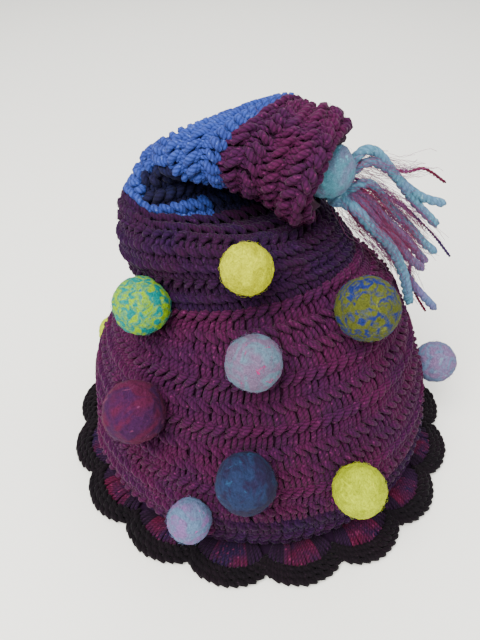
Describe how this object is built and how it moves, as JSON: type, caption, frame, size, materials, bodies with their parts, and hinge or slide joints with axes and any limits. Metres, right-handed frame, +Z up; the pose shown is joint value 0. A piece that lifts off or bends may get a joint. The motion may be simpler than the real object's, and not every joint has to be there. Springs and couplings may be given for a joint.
{
  "type": "tea cosy",
  "caption": "Hollow crochet tea cosy shaped like a flopped pixie hat, with slits for the spout and the handle, a scalloped hem, felt balls and a yarn tassel.",
  "frame": {"origin": "centre of the scalloped hem's outline, on the surface it rests on", "axes": "+Z up; the spout slit faces -X, the handle slit faces +X, and the tip flops forward over the -Y side"},
  "size_m": [0.2146, 0.2164, 0.1913],
  "materials": {
    "hat_wool": "crochet wool, soft",
    "fan_wool": "variegated crochet wool",
    "edging_wool": "black crochet wool",
    "felt_turquoise_green": "wool felt, matt",
    "felt_yellow": "wool felt, matt",
    "felt_olive": "wool felt, matt",
    "felt_light_blue": "wool felt, matt",
    "felt_side_blue": "wool felt, matt",
    "felt_back_lime": "wool felt, matt",
    "felt_magenta": "wool felt, matt",
    "felt_navy": "wool felt, matt",
    "felt_lime": "wool felt, matt",
    "felt_lilac": "wool felt, matt",
    "felt_tip": "wool felt, matt",
    "tassel_yarn": "plied wool yarn"
  },
  "bodies": {
    "root": {"hat": "hat_wool", "frill_fans": "fan_wool", "frill_edging": "edging_wool", "ball_turquoise_green": "felt_turquoise_green", "ball_yellow": "felt_yellow", "ball_olive": "felt_olive", "ball_light_blue": "felt_light_blue", "ball_side_blue": "felt_side_blue", "ball_back_lime": "felt_back_lime", "ball_magenta": "felt_magenta", "ball_navy": "felt_navy", "ball_lime": "felt_lime", "ball_lilac": "felt_lilac", "ball_tip": "felt_tip", "tassel": "tassel_yarn"}
  },
  "joints": []
}
